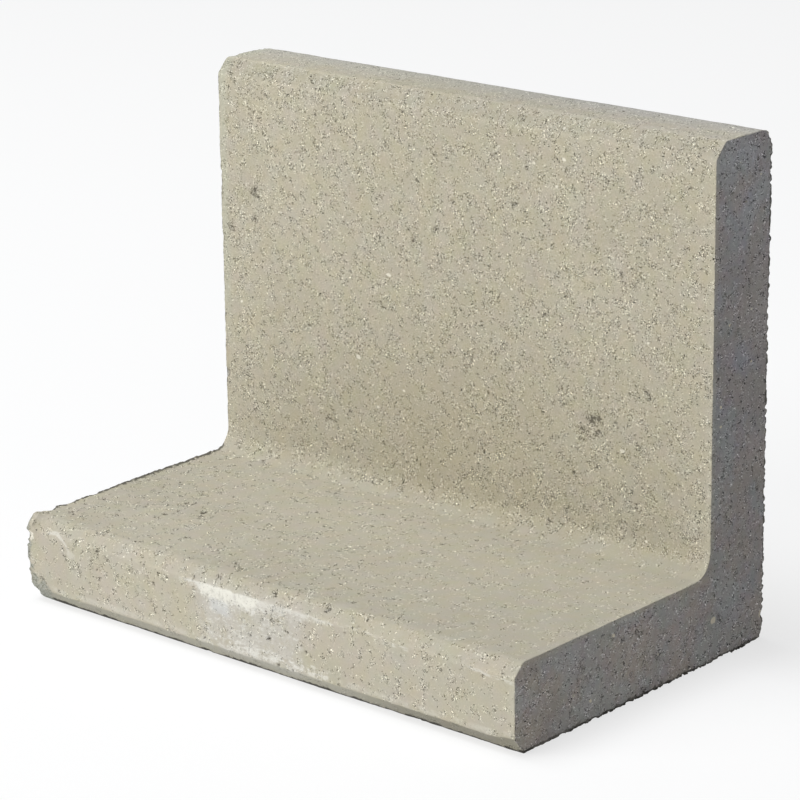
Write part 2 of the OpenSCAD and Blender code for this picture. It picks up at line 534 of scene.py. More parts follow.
# ragged arris of the end faces: lumps with nicks between them
def lumps(size, seed):
    return np.clip(cells(V0, size, seed) / 0.92, 0, 1) ** 2.2


where_on = np.clip(0.75 + 1.1 * perlin(V0, 26, 9), 0.25, 1.35)
left_low = (1 - smooth(66, 84, z0)) * (1 - smooth(-118, -90, y0)) * (~right)
left_foot = (1 - smooth(72, 84, z0)) * smooth(52, 64, z0) * smooth(-142, -120, y0) * (1 - smooth(70, 78, y0)) * (~right)
lower = left_low * (1 - smooth(14, 30, z0))
upper = left_low - lower
a1 = np.where(right, 0.15 + 0.35 * rough_edge * where_on, 0.25 + 1.0 * rough_edge * where_on + 1.3 * lower + 0.5 * left_foot)
a2 = np.where(right, 0.10 + 0.45 * rough_edge, 0.25 + 0.7 * rough_edge + 1.3 * lower + 1.1 * left_foot)
e1 = (a1 * lumps(7.0, 3) + a2 * lumps(3.9, 5)) * np.exp(-np.maximum(de, 0) / np.where(right, 4.0, 5.0))
# raised lip of squeezed-out concrete along the left edge of the foot
lipn = np.clip(0.65 + 1.2 * perlin(V0, 8, 77) + 0.5 * perlin(V0, 4, 78), 0.05, 1.3)
lip = (smooth(-62, -44, y0) * (1 - smooth(56, 68, y0)) * np.exp(-np.maximum(de - 1.6, 0) / 1.8)
       * np.exp(-np.abs(z0 - FOOT) / 2.5) * (~right))
e1 = e1 * (1 - 0.7 * lip) - 2.9 * lip * lipn
# the underside's own front edge is a little broken
e1 += (0.25 * lumps(7.5, 3) + 0.15 * lumps(3.6, 5)) * np.exp(-np.hypot(y0 - (YF + BASE_D), z0) / 3.0)
e2 = 0.10 + 0.35 * np.clip(0.5 + 0.9 * fbm(V0, 45, 2, 21), 0, 1.2)
edge_d = -seg_dist(V0[:, 1:3], BASE)
ragx = (np.where(right, 0.15 + 0.2 * rough_edge * where_on, 0.30 + 0.8 * rough_edge + 2.2 * lower + 0.5 * left_foot) * lumps(8.0, 13)
        + np.where(right, 0.10 + 0.3 * rough_edge, 0.30 + 0.4 * rough_edge + 1.8 * lower + 0.8 * left_foot) * lumps(4.4, 15))
ragx = ragx + 1.2 * lower * (1 - smooth(8, 22, z0))
e2 = e2 + ragx * np.exp(-edge_d / np.where(right, 3.0, 5.0))
# narrow nicks between small bulges, on the toe's left end and along the back edge
def nicks(size, width, seed):
    return np.exp(-(perlin(V0, size, seed) / width) ** 2)


e2 = e2 + upper * (3.0 * nicks(12.0, 0.16, 151) + 1.3 * nicks(7.0, 0.18, 153) - 1.3) * np.exp(-edge_d / 6.0)
e2 = e2 + lower * (2.4 * nicks(8.0, 0.17, 155) - 0.3) * np.exp(-edge_d / 5.0)
serr = np.where(right, 1.0, 0.5) * smooth(YB - 14, YB - 2, y0)
e1 = e1 + serr * (2.3 * nicks(10.0, 0.16, 157) + 1.1 * nicks(6.0, 0.18, 159) - 1.25) * np.exp(-np.maximum(de, 0) / 3.0)
e2 = e2 + serr * (0.6 * nicks(6.0, 0.30, 161) - 0.40) * np.exp(-edge_d / 3.0)
# and along the lower edge of the right end
bite = smooth(-135, -40, y0) * (1 - smooth(0.5, 9.0, z0)) * np.where(right, 1.0, 0.6)
e1 = e1 + bite * (2.4 * nicks(10.0, 0.15, 163) + 1.1 * nicks(6.0, 0.18, 165) - 1.9) * np.exp(-np.maximum(de, 0) / 3.5)
e2 = e2 + bite * (1.3 * nicks(9.0, 0.16, 167) + 0.6 * nicks(5.5, 0.20, 169) - 1.3) * np.exp(-edge_d / 3.5)
# a knob of concrete left standing at the upper corner of the toe
knob = np.exp(-(((y0 - (YF + 5.5)) / 10.0) ** 2 + ((z0 - 65.0) / 6.8) ** 2) ** 2) * (~right)
e2 = e2 * (1 - 0.98 * knob)
knob_f = knob * np.exp(-np.maximum(de - 7.0, 0) / 3.5)
e1 = e1 * (1 - 0.9 * knob) - 3.6 * knob_f * (0.85 + 0.4 * perlin(V0, 7.0, 83))
# the lower front edge stands out a little along most of the toe
edge_x = (1 - smooth(70, 130, x0)) * (0.75 + 0.9 * perlin(V0 * np.array([1, 0, 0]), 38, 37))
e1 = e1 - 0.7 * np.clip(edge_x, 0, 1.2) * np.exp(-(np.hypot(y0 - (YF + BASE_D), z0) / 4.5) ** 2)
rad = (np.where(right, 0.6 + 0.1 * rough_edge, 0.7 + 0.5 * rough_edge + 0.5 * lower + 0.1 * upper)
       * (0.55 + 0.9 * np.clip(0.5 + perlin(V0, 11, 31), 0, 1)))
rad = rad + 3.0 * knob
# the knee of the base bevel wanders a little and rises at the right end
knee_z = BASE_H - 0.7 + 0.6 * smooth(60, 120, x0) + 2.1 * smooth(222, 248, x0) + 0.5 * perlin(V0 * np.array([1, 0, 0]), 30, 35)


def chip_field(P):
    out = np.full(len(P), -1e3)
    for k, (c, s) in enumerate(CHIPS):
        c, s = np.array(c), np.array(s)
        near = np.abs(P - c).max(1) < max(s) + 6
        if near.any():
            q = (P[near] - c) / s
            l = np.linalg.norm(q, axis=1)
            f = (1 - l) * min(s) + 0.9 * perlin(P[near], 3.4, 40 + k)
            out[near] = np.maximum(out[near], f)
    return out


def field(P):
    zz = P[:, 2]
    zw = np.where(zz < knee_z, zz * BASE_H / knee_z, BASE_H + (zz - knee_z) * (40 - BASE_H) / (40 - knee_z))
    zz = np.where((P[:, 1] < YF + 40) & (zz < 40) & (zz > 0), zw, zz)
    d1 = sect(np.c_[P[:, 1], zz]) + e1
    d2 = np.abs(P[:, 0]) - HX + e2
    u, v = np.maximum(rad + d1, 0), np.maximum(rad + d2, 0)
    f = np.minimum(-rad, np.maximum(d1, d2)) + np.hypot(u, v)
    g = chip_field(P)
    k = 0.8
    hh = np.clip(0.5 + 0.5 * (f - g) / k, 0, 1)
    return f * hh + g * (1 - hh) + k * hh * (1 - hh)


def gradient(fn, P, e=0.25):
    g = np.zeros_like(P)
    for k in range(3):
        d = np.zeros(3)
        d[k] = e
        g[:, k] = (fn(P + d) - fn(P - d)) / (2 * e)
    n = np.linalg.norm(g, axis=1)
    n[n < 1e-6] = 1
    return g / n[:, None]


P = V0.copy()
for it in range(3):
    f = field(P)
    g = gradient(field, P)
    P -= np.clip(f, -3.5, 3.5)[:, None] * g * 0.98
N = gradient(field, P)

# low relief of the cast faces, always inwards
rel = 0.32 * (0.55 - fbm(V0, 62, 2, 51)) + 0.16 * (0.6 - fbm(V0, 17, 2, 57))
rel = np.maximum(rel, 0)
fine = 0.10 * (0.7 - perlin(V0, 4.6, 61))
near_edge = np.exp(-np.minimum(np.maximum(de, 0), 40) / 8)
fine *= 1 + 1.6 * near_edge
rel = (rel + np.maximum(fine, 0)) * (0.3 + 0.7 * smooth(1.5, 8, z0)) * (1 - 0.8 * knob)

# pits: groups of small holes in a shallow dip
pit = np.zeros(len(P))
speck = np.zeros(len(P))
for k, (c, r, d) in enumerate(zip(PIT_C, PIT_R, PIT_D)):
    near = np.abs(V0 - c).max(1) < r * 2.2
    if not near.any():
        continue
    q = V0[near] - c
    a = rng.uniform(0, math.pi)
    st = rng.uniform(1.0, 1.5)
    if PIT_F[k] in ("stem", "toe", "back"):
        u_, v_ = q[:, 0], q[:, 2]
    elif PIT_F[k] in ("foot", "top"):
        u_, v_ = q[:, 0], q[:, 1]
    else:
        u_, v_ = q[:, 1], q[:, 2]
    uu = (math.cos(a) * u_ + math.sin(a) * v_) / st
    vv = (-math.sin(a) * u_ + math.cos(a) * v_) * st ** 0.5
    ln = np.hypot(uu, vv) * (1 + 0.5 * perlin(V0[near], max(2.0, r * 0.8), 70 + k % 9)) / (r * 0.82)
    w = np.clip(1 - ln ** 2, 0, 1)
    holes = smooth(0.52, 0.80, 0.40 + 0.80 * perlin(V0[near], 2.3, 90 + k % 11)
                   + 0.30 * w + (0.22 if r < 3.0 else 0.0))
    depth = d * (0.10 * w + 0.50 * np.sqrt(w) * holes)
    pit[near] = np.maximum(pit[near], depth)
    speck[near] = np.maximum(speck[near], np.clip(1.25 * np.exp(-(ln * 0.85) ** 2) - 0.12, 0, 1) * min(1, 0.40 + d / 3.6))
fleck = np.zeros(len(P))
for k, (f_, a_, b_, l1, l2) in enumerate(FLECKS):
    near = np.abs(V0 - FLK_C[k]).max(1) < 9
    q = V0[near] - FLK_C[k]
    if f_ in ("stem", "toe"):
        u_, v_ = q[:, 0], q[:, 2]
    else:
        u_, v_ = q[:, 1], q[:, 2]
    a = rng.uniform(-0.6, 0.6) if l1 > l2 else 0.0
    uu = (math.cos(a) * u_ + math.sin(a) * v_) / l1
    vv = (-math.sin(a) * u_ + math.cos(a) * v_) / l2
    ln = np.hypot(uu, vv) * (1 + 0.45 * perlin(V0[near], 2.4, 120 + k))
    fleck[near] = np.maximum(fleck[near], 1 - smooth(0.55, 1.25, ln))
pit = pit * (1 - 0.8 * fleck)
P = P - N * (rel + pit)[:, None]
P[:, 0] = np.clip(P[:, 0], -HX, HX)
P[:, 1] = np.clip(P[:, 1], YF, YB)
P[:, 2] = np.clip(P[:, 2], 0, HZ)
print("surface done", len(P), len(T))


# ---------------------------------------------------------------- the piece
def make_mesh(name):
    W = (P + np.array([CX, CY, Z0])) / MM
    me = bpy.data.meshes.new(name)
    me.vertices.add(len(W))
    me.vertices.foreach_set("co", W.astype(np.float32).ravel())
    me.loops.add(len(T) * 3)
    me.loops.foreach_set("vertex_index", T.astype(np.int32).ravel())
    me.polygons.add(len(T))
    me.polygons.foreach_set("loop_start", np.arange(0, len(T) * 3, 3, dtype=np.int32))
    me.polygons.foreach_set("loop_total", np.full(len(T), 3, dtype=np.int32))
    me.update(calc_edges=True)
    me.validate(verbose=False)
    me.polygons.foreach_set("use_smooth", np.ones(len(me.polygons), bool))
    return me


mesh = make_mesh("concrete_element")
assert len(mesh.polygons) == len(T), "the mesh was changed by validate"


def put(name, values):
    at = mesh.attributes.new(name, "FLOAT", "POINT")
    at.data.foreach_set("value", values.astype(np.float32))


d2_ = HX - np.abs(P[:, 0])
d1_ = -sect(P[:, 1:3])
end_w = smooth(-0.6, 0.6, d1_ - d2_)
put("end_face", end_w)
put("pit", np.clip(pit / 1.9, 0, 1))
put("speck", speck)
put("fleck", fleck)
dA, dB = np.maximum(-(sect(P[:, 1:3]) + e1), 0), np.maximum(d2_ - e2, 0)
# edges to be painted dark: painted shade under the bottom edge and along the back and left edges that turn from the
# light, with some dirt at the bottom
under = 1 - smooth(2.0, 7.0, z0)
edge_shade_w = np.maximum(under, 0.75 * smooth(YB - 6, YB - 1, y0))
edge_shade_w = np.maximum(edge_shade_w, 1.10 * left_foot)
edge_shade_w = np.maximum(edge_shade_w, np.where(right, 0, 0.50) * (z0 > FOOT + 20))
corner_g = ((1 - smooth(-238, -220, x0 + 9 * perlin(V0, 9, 141))) * (1 - smooth(12, 27, z0 + 7 * perlin(V0, 7, 142)))
            * (1 - smooth(-132, -118, y0)))
grey_rim = left_low * (1 - smooth(64, 74, z0)) * np.exp(-np.hypot(dA, dB) / 2.6) * 1.7
put("grey", np.clip(np.maximum(corner_g, grey_rim), 0, 1.2))
put("rim", np.clip(edge_shade_w * np.exp(-np.hypot(dA, dB) / 3.6) * 1.4, 0, 1.2))
arris = np.exp(-np.maximum(d1_, 0) / 1.6) * np.exp(-np.maximum(d2_, 0) / 1.6)
put("arris", arris)

# unwrapped layout, used when the finish is baked: front faces, back faces, two end faces
A_, B_ = BASE, np.roll(BASE, -1, axis=0)
seg_l = np.linalg.norm(B_ - A_, axis=1)


def along(P2):
    """Position of each point along the outline."""
    best = np.full(len(P2), 1e18)
    s = np.zeros(len(P2))
    for i in range(len(A_)):
        if seg_l[i] < 1e-9:
            continue
        ab = (B_[i] - A_[i]) / seg_l[i]
        t = np.clip((P2 - A_[i]) @ ab, 0, seg_l[i])
        d = ((P2 - A_[i] - t[:, None] * ab) ** 2).sum(1)
        m = d < best - 1e-9
        best[m] = d[m]
        s[m] = BASE_S[i] + t[m]
    return s


i_top = int(np.argmin(np.hypot(BASE[:, 0] - (SF + STEM_BEV), BASE[:, 1] - HZ)))
S_SPLIT = BASE_S[i_top]                    # front edge of the stem's top
i_und = int(np.argmin(np.hypot(BASE[:, 0] - (YB - HEEL_R), BASE[:, 1])))
S_UND = BASE_S[i_und]                      # underside ends here
sv = along(V0[:, 1:3])
ts = sv[T]
cen = V0[T].mean(1)
tri_s = along(cen[:, 1:3])
front = tri_s >= S_SPLIT
# the outline closes at the toe's lower edge: the front part reaches it from below PER
ts = np.where(front[:, None] & (ts < S_SPLIT - 1), ts + PER, ts)
ts = np.where(~front[:, None] & (ts > S_SPLIT + 1), ts - PER, ts)
tx = V0[T][:, :, 0] + HX
ty = V0[T][:, :, 1] - YF
tz = V0[T][:, :, 2]
UV = np.zeros((len(T), 3, 2))
px = 1024.0
kf = 1.075
m = (C == 0) & front
UV[m, :, 0] = 2 + tx[m] * kf
UV[m, :, 1] = 2 + (ts[m] - S_SPLIT) * 1.6
kb = 0.90
m = (C == 0) & ~front
back_s = np.where(ts < S_UND, ts * 0.42, S_UND * 0.42 + (ts - S_UND))
UV[m, :, 0] = 556 + tx[m] * kb
UV[m, :, 1] = 618 + back_s[m] * 0.70
kc = 1.0
m = C == 1
UV[m, :, 0] = 600 + tz[m] * kc
UV[m, :, 1] = 4 + ty[m] * kc
m = C == -1
UV[m, :, 0] = 600 + tz[m] * kc
UV[m, :, 1] = 310 + ty[m] * kc
print("uv ranges", UV.reshape(-1, 2).min(0), UV.reshape(-1, 2).max(0), "front", float((ts[(C == 0) & front].max() - S_SPLIT) * kf))
lay = mesh.uv_layers.new(name="OFBake")
lay.data.foreach_set("uv", (UV / px).astype(np.float32).ravel())

piece = bpy.data.objects.new("concrete_element", mesh)
bpy.context.scene.collection.objects.link(piece)

# ---------------------------------------------------------------- the finish
mat = bpy.data.materials.new("concrete_finish")
mat.use_nodes = True
nt = mat.node_tree
for n_ in list(nt.nodes):
    nt.nodes.remove(n_)


def node(kind, **kw):
    n = nt.nodes.new(kind)
    for k, v in kw.items():
        setattr(n, k, v)
    return n


def link(a, b):
    nt.links.new(a, b)


def feed(sock, v):
    if isinstance(v, bpy.types.NodeSocket):
        link(v, sock)
    else:
        sock.default_value = v


def m_(op, a, b=None, c=None, clamp=False):
    n = node("ShaderNodeMath", operation=op, use_clamp=clamp)
    feed(n.inputs[0], a)
    if b is not None:
        feed(n.inputs[1], b)
    if c is not None:
        feed(n.inputs[2], c)
    return n.outputs[0]


def mul(a, b):
    return m_("MULTIPLY", a, b)


def add(a, b):
    return m_("ADD", a, b)


def sub(a, b):
    return m_("SUBTRACT", a, b)


def ma(a, b, c):
    """a * b + c"""
    return m_("MULTIPLY_ADD", a, b, c)


def inv(a):
    return m_("SUBTRACT", 1.0, a)


def rng_(v, f0, f1, t0=0.0, t1=1.0, kind="SMOOTHSTEP"):
    n = node("ShaderNodeMapRange", interpolation_type=kind, clamp=True)
    feed(n.inputs["Value"], v)
    n.inputs["From Min"].default_value = f0
    n.inputs["From Max"].default_value = f1
    n.inputs["To Min"].default_value = t0
    n.inputs["To Max"].default_value = t1
    return n.outputs["Result"]


def noise(vec, size, detail=2.0, rough=0.5, distort=0.0):
    n = node("ShaderNodeTexNoise", noise_dimensions="3D")
    link(vec, n.inputs["Vector"])
    n.inputs["Scale"].default_value = 1.0 / size
    n.inputs["Detail"].default_value = detail
    n.inputs["Roughness"].default_value = rough
    n.inputs["Distortion"].default_value = distort
    return n


def voro(vec, size, feature="F1", rand=1.0):
    n = node("ShaderNodeTexVoronoi", voronoi_dimensions="3D", feature=feature)
    link(vec, n.inputs["Vector"])
    n.inputs["Scale"].default_value = 1.0 / size
    n.inputs["Randomness"].default_value = rand
    return n


def shift(vec, x, y, z):
    n = node("ShaderNodeVectorMath", operation="ADD")
    link(vec, n.inputs[0])
    n.inputs[1].default_value = (x, y, z)
    return n.outputs[0]


def sep(v):
    n = node("ShaderNodeSeparateXYZ")
    link(v, n.inputs[0])
    return n.outputs


def sepc(v):
    n = node("ShaderNodeSeparateColor")
    link(v, n.inputs[0])
    return n.outputs


def ramp(fac, stops, interp="LINEAR"):
    n = node("ShaderNodeValToRGB")
    n.color_ramp.interpolation = interp
    el = n.color_ramp.elements
    while len(el) < len(stops):
        el.new(0.5)
    for e, (p, v) in zip(el, stops):
        e.position = p
        c = v if isinstance(v, tuple) else (v, v, v)
        e.color = (c[0], c[1], c[2], 1.0)
    link(fac, n.inputs[0])
    return n.outputs[0]


def mixc(fac, a, b, mode="MIX"):
    n = node("ShaderNodeMix", data_type="RGBA", blend_type=mode)
    feed(n.inputs[0], fac)
    for s, v in ((n.inputs[6], a), (n.inputs[7], b)):
        if isinstance(v, tuple):
            s.default_value = (v[0], v[1], v[2], 1.0)
        else:
            link(v, s)
    return n.outputs[2]


def attr(name):
    n = node("ShaderNodeAttribute", attribute_name=name)
    return n.outputs["Fac"]


def band(v, lo_, hi_, soft):
    return mul(rng_(v, lo_ - soft, lo_ + soft), inv(rng_(v, hi_ - soft, hi_ + soft)))


tc = node("ShaderNodeTexCoord")
mm = node("ShaderNodeVectorMath", operation="MULTIPLY_ADD")
link(tc.outputs["Object"], mm.inputs[0])
mm.inputs[1].default_value = (MM, MM, MM)
mm.inputs[2].default_value = (-CX, -CY, -Z0)
P_mm = mm.outputs[0]
X, Y, Z = sep(P_mm)
A_END, A_PIT, A_ARR = attr("end_face"), attr("pit"), attr("arris")
A_SPECK, A_FLECK, A_EDGE_SHADE, A_GREY = attr("speck"), attr("fleck"), attr("rim"), attr("grey")

# grains of sand, in clusters, with smoother cement between them
big = noise(P_mm, 150, 2, 0.5)
mid = noise(shift(P_mm, 31, 7, 3), 34, 3, 0.55)
patch = noise(shift(P_mm, 5, 71, 13), 6.2, 3, 0.66)
wob = noise(shift(P_mm, 4, 9, 1), 1.6, 1, 0.5)
wobv = node("ShaderNodeVectorMath", operation="MULTIPLY_ADD")
link(wob.outputs["Color"], wobv.inputs[0])
wobv.inputs[1].default_value = (0.9, 0.9, 0.9)
long_y = node("ShaderNodeVectorMath", operation="MULTIPLY")
link(P_mm, long_y.inputs[0])
long_y.inputs[1].default_value = (1.0, 0.64, 1.0)
link(long_y.outputs[0], wobv.inputs[2])
Q_mm = wobv.outputs[0]
ga = voro(Q_mm, 1.85)
ga_r, ga_g, ga_b = sepc(ga.outputs["Color"])
gb = voro(shift(Q_mm, 9, 4, 2), 0.95)
gb_r, gb_g, gb_b = sepc(gb.outputs["Color"])
gc = voro(shift(Q_mm, 19, 14, 22), 0.60)
gc_r = sepc(gc.outputs["Color"])[0]
fine_n = noise(shift(P_mm, 3, 3, 9), 0.95, 2, 0.6).outputs["Fac"]
med_n = noise(shift(P_mm, 13, 23, 9), 3.4, 2, 0.6).outputs["Fac"]

fore = inv(rng_(Y, SF + 12, SF + 24))
foot_top = mul(mul(mul(rng_(Z, FOOT - 3.0, FOOT - 0.8), inv(rng_(Z, FOOT + 2.0, FOOT + 9))), inv(A_END)), fore)
foot_cut = mul(foot_top, rng_(X, -60, 220, 0.18, 0.66, "LINEAR"))
toe_f = mul(inv(rng_(Y, YF + 6, YF + 9)), inv(A_END))
thin = m_("MAXIMUM", m_("MAXIMUM", foot_top, mul(toe_f, 0.85)), mul(A_END, 0.55))
act_s = rng_(patch.outputs["Fac"], 0.41, 0.62, 0.12, 1.56)
act_t = rng_(patch.outputs["Fac"], 0.49, 0.66, 0.05, 2.60)
act = ma(sub(act_t, act_s), thin, act_s)
act = mul(act, ma(sub(mid.outputs["Fac"], 0.5), 1.8, 1.0))
act = mul(act, inv(foot_cut))
act = mul(act, ma(toe_f, -0.28, ma(A_END, 0.14, 1.0)))
act = mul(act, ma(mul(A_END, inv(rng_(Y, 20, 90))), -0.18, 1.0))
act = mul(act, ma(mul(rng_(Z, HZ - 2.0, HZ - 0.5), inv(A_END)), -0.34, 1.0))
# cement skin, smooth and a little paler, along the moulded edges
near_r = mul(rng_(X, HX - 9.0, HX - 3.0), inv(A_END))
near_l = mul(mul(inv(rng_(X, -HX + 5.0, -HX + 13.0)), rng_(Z, 150, 210)), inv(A_END))
skin_e = mul(mul(band(Y, SF - 0.5, SF + 4.5, 1.6), A_END), rng_(Z, FOOT + 8, FOOT + 16))
skin_e = m_("MAXIMUM", skin_e, mul(mul(band(Z, FOOT - 4.0, FOOT + 0.5, 1.3), A_END), inv(rng_(Y, SF - 8, SF + 2))))
skin = m_("MAXIMUM", mul(m_("MAXIMUM", near_r, near_l), 0.85), skin_e)
skin = mul(skin, rng_(med_n, 0.30, 0.60, 0.35, 1.0))
act = mul(act, ma(skin, -0.50, 1.0))

grain_b = ramp(gb_r, [(0.0, 0.36), (0.06, 0.58), (0.14, 0.96), (0.22, 1.0), (0.80, 1.01), (0.88, 1.14), (0.94, 1.38), (1.0, 1.85)])
grain_c = ramp(gc_r, [(0.0, 0.06), (0.06, 0.42), (0.13, 0.99), (0.87, 1.01), (0.93, 1.42), (1.0, 2.50)])
pore_r = sub(rng_(ga_r, 0.74, 1.0, 0.0, 0.36, "LINEAR"), ga.outputs["Distance"])
pore = rng_(pore_r, -0.05, 0.05)
bead = rng_(sub(rng_(ga_g, 0.72, 1.0, 0.0, 0.38, "LINEAR"), ga.outputs["Distance"]), -0.05, 0.05)
halo = mul(sub(rng_(pore_r, -0.26, -0.12), pore), rng_(ga_r, 0.74, 0.80))
g1 = m_("MAXIMUM", ma(sub(grain_b, 1.0), mul(act, 0.68), 1.0), 0.12)
g2 = m_("MAXIMUM", ma(sub(grain_c, 1.0), mul(act, 1.48), 1.0), 0.08)
g3 = ma(add(mul(halo, 0.55), sub(mul(bead, ma(A_END, 0.6, 0.7)), mul(pore, ma(A_END, 0.9, 1.2)))), mul(act, 0.32), 1.0)
g4 = ma(sub(fine_n, 0.5), ma(act, 0.34, 0.10), 1.0)
g5 = ma(sub(med_n, 0.5), ma(A_END, 0.14, 0.03), 1.0)
g6 = ma(sub(mid.outputs["Fac"], 0.5), ma(A_END, 0.32, 0.12), 1.0)
g7 = mul(ma(sub(big.outputs["Fac"], 0.5), 0.12, 1.0), ma(act, 0.055, 0.960))
tone = mul(mul(mul(g1, g2), mul(g3, g4)), mul(g5, mul(g6, g7)))

# a few wider air holes and pale stones
vp = voro(shift(Q_mm, 2, 19, 41), 5.6)
vp_r, vp_g, vp_b = sepc(vp.outputs["Color"])
hole_r = mul(rng_(vp_r, 0.72, 1.0, 0.0, 0.20, "LINEAR"), rng_(patch.outputs["Fac"], 0.42, 0.60, 0.45, 1.20))
hole_r = mul(hole_r, inv(mul(foot_cut, 0.5)))
hole = rng_(sub(ma(sub(fine_n, 0.5), -0.30, hole_r), vp.outputs["Distance"]), -0.03, 0.04)
pale = rng_(sub(ma(sub(fine_n, 0.5), 0.20, rng_(vp_g, 0.93, 1.0, 0.0, 0.20, "LINEAR")), vp.outputs["Distance"]), -0.02, 0.03)

# colour of the cement
hue = sepc(noise(shift(P_mm, 77, 5, 61), 17, 3, 0.55).outputs["Color"])
cement = node("ShaderNodeCombineColor")
rg = sub(hue[0], 0.5)
feed(cement.inputs[0], ma(rg, 0.044, ma(foot_top, -0.018, 0.4885)))
feed(cement.inputs[1], ma(rg, -0.017, ma(foot_top, -0.013, 0.450)))
feed(cement.inputs[2], ma(sub(hue[1], 0.5), 0.098, ma(foot_top, -0.002, 0.351)))
col = cement.outputs[0]
# the stem's top: painted cool skylight, stronger towards the back
top_sky_tint = mul(mul(rng_(Z, HZ - 3.0, HZ - 1.0), rng_(Y, SF + 18, YB - 8)), inv(A_END))
col = mixc(mul(top_sky_tint, 0.75), col, (0.455, 0.445, 0.410))

# end faces: torn rather than pressed, greyer, with darker veins
hue_e = sepc(noise(shift(P_mm, 7, 35, 11), 16, 3, 0.6).outputs["Color"])
end_c = node("ShaderNodeCombineColor")
rg_e = sub(hue_e[0], 0.5)
feed(end_c.inputs[0], ma(rg_e, 0.135, 0.358))
feed(end_c.inputs[1], ma(rg_e, -0.040, 0.341))
feed(end_c.inputs[2], ma(sub(hue_e[1], 0.5), 0.150, 0.341))
col = mixc(A_END, col, end_c.outputs[0])
vein_n = noise(shift(P_mm, 3, 45, 71), 13, 4, 0.68).outputs["Fac"]
vein = mul(inv(rng_(m_("ABSOLUTE", sub(vein_n, 0.53)), 0.004, 0.045)), rng_(mid.outputs["Fac"], 0.46, 0.60))
col = mixc(mul(mul(vein, A_END), 0.46), col, (0.20, 0.175, 0.15))
col = mixc(mul(skin_e, 0.50), col, (0.440, 0.418, 0.345))
col = mixc(mul(mul(near_r, 0.35), med_n), col, (0.58, 0.56, 0.47))
col = mixc(mul(near_l, 0.55), col, (0.495, 0.496, 0.402))

# lime bloom and scuffs on the toe
warp = noise(shift(P_mm, 1, 2, 3), 8.0, 4, 0.62)
wx, wy, wz = sepc(warp.outputs["Color"])
Xw = ma(sub(wx, 0.5), 26.0, X)
Zw = ma(sub(wz, 0.5), 13.0, Z)
Zs = ma(sub(wz, 0.5), 2.6, Z)
breakup = noise(shift(P_mm, 50, 2, 90), 2.4, 4, 0.72).outputs["Fac"]
streak_v = node("ShaderNodeVectorMath", operation="MULTIPLY")
link(P_mm, streak_v.inputs[0])
streak_v.inputs[1].default_value = (0.22, 1.0, 0.95)
streaks = noise(streak_v.outputs[0], 1.9, 3, 0.68).outputs["Fac"]
both = add(mul(breakup, 0.5), mul(streaks, 0.5))
# how far the rubbed band reaches down from the arris, along x
drop = ramp(rng_(X, -80, 80, 0, 1, "LINEAR"),
            [(0.0, 0.05), (0.10, 0.16), (0.18, 0.55), (0.24, 0.95), (0.47, 1.0), (0.53, 0.60), (0.62, 0.34), (0.80, 0.22), (1.0, 0.06)])
fall = m_("DIVIDE", sub(58.5, Zw), ma(drop, 17.0, 1.8))
v_main = ma(sub(both, 0.5), 2.2, ma(fall, -0.80, 0.84))
s_main = mul(mul(rng_(v_main, 0.02, 0.84), band(Xw, -74, 76, 6)), inv(rng_(Zs, 58.2, 60.4)))
s_main = mul(s_main, rng_(Xw, 0, 14, 1.0, 0.74))
Xh = ma(sub(wx, 0.5), 9.0, X)
Zh = ma(sub(wz, 0.5), 9.0, Z)
hot_a = mul(band(Xh, -57, -22, 3.5), rng_(Zh, 45.5, 53.0))
hot_b = mul(band(Xh, -20.5, 3, 3.0), rng_(ma(X, -0.22, Zh), 49.0, 56.5))
v_hot = ma(sub(both, 0.5), 0.9, m_("MAXIMUM", hot_a, hot_b))
s_hot = mul(rng_(v_hot, 0.28, 0.95), inv(rng_(Zs, 58.4, 60.4)))
s_blue = mul(mul(band(Xh, -47, -27, 4), band(Zh, 39, 51, 4)), toe_f)
soft_n = noise(shift(P_mm, 9, 9, 31), 12, 4, 0.65).outputs["Fac"]
s_soft = mul(band(Xw, -60, 46, 8), band(Zw, 6, 62, 6))
s_soft = mul(s_soft, rng_(soft_n, 0.28, 0.54))
s_low = mul(mul(band(Xw, -50, 72, 6), band(Zw, 11, 21, 3)), rng_(add(mul(soft_n, 0.35), mul(both, 0.65)), 0.485, 0.545))
s_end = mul(mul(band(Xw, 206, 248, 5), band(ma(X, 0.05, Zs), 67.0, 69.6, 0.8)), rng_(streaks, 0.42, 0.56))
s_b = mul(mul(band(Xw, 128, 148, 4), band(Zs, 55.5, 58.5, 0.8)), rng_(streaks, 0.42, 0.56))
s_c = mul(mul(band(Xw, 82, 120, 8), band(Zs, 58.5, 60.5, 0.7)), rng_(streaks, 0.46, 0.58))
# a curved rub at the left
arcd = m_("SQRT", add(m_("POWER", m_("ABSOLUTE", add(X, 219.0)), 2.0), m_("POWER", m_("ABSOLUTE", sub(Z, 43.5)), 2.0)))
arcd = ma(sub(wx, 0.5), 3.0, sub(arcd, 18.3))
blob_l = m_("SQRT", add(m_("POWER", m_("ABSOLUTE", mul(add(X, 199.5), 0.20)), 2.0), m_("POWER", m_("ABSOLUTE", mul(sub(Z, 48.5), 0.28)), 2.0)))
s_left = mul(mul(band(arcd, -1.3, 1.1, 0.7), mul(rng_(X, -229, -222), rng_(Z, 44, 52))), rng_(both, 0.38, 0.50))
s_left = m_("MAXIMUM", s_left, mul(inv(rng_(ma(sub(both, 0.5), 2.0, blob_l), 0.7, 1.2)), 0.55))
strong = m_("MAXIMUM", s_main, mul(s_low, 0.78))
strong = m_("MAXIMUM", strong, m_("MAXIMUM", mul(m_("MAXIMUM", s_end, s_b), 0.60), mul(s_c, 0.40)))
strong = mul(m_("MAXIMUM", strong, mul(s_left, 0.60)), toe_f)
hot = mul(s_hot, toe_f)
soft_b = mul(s_soft, toe_f)
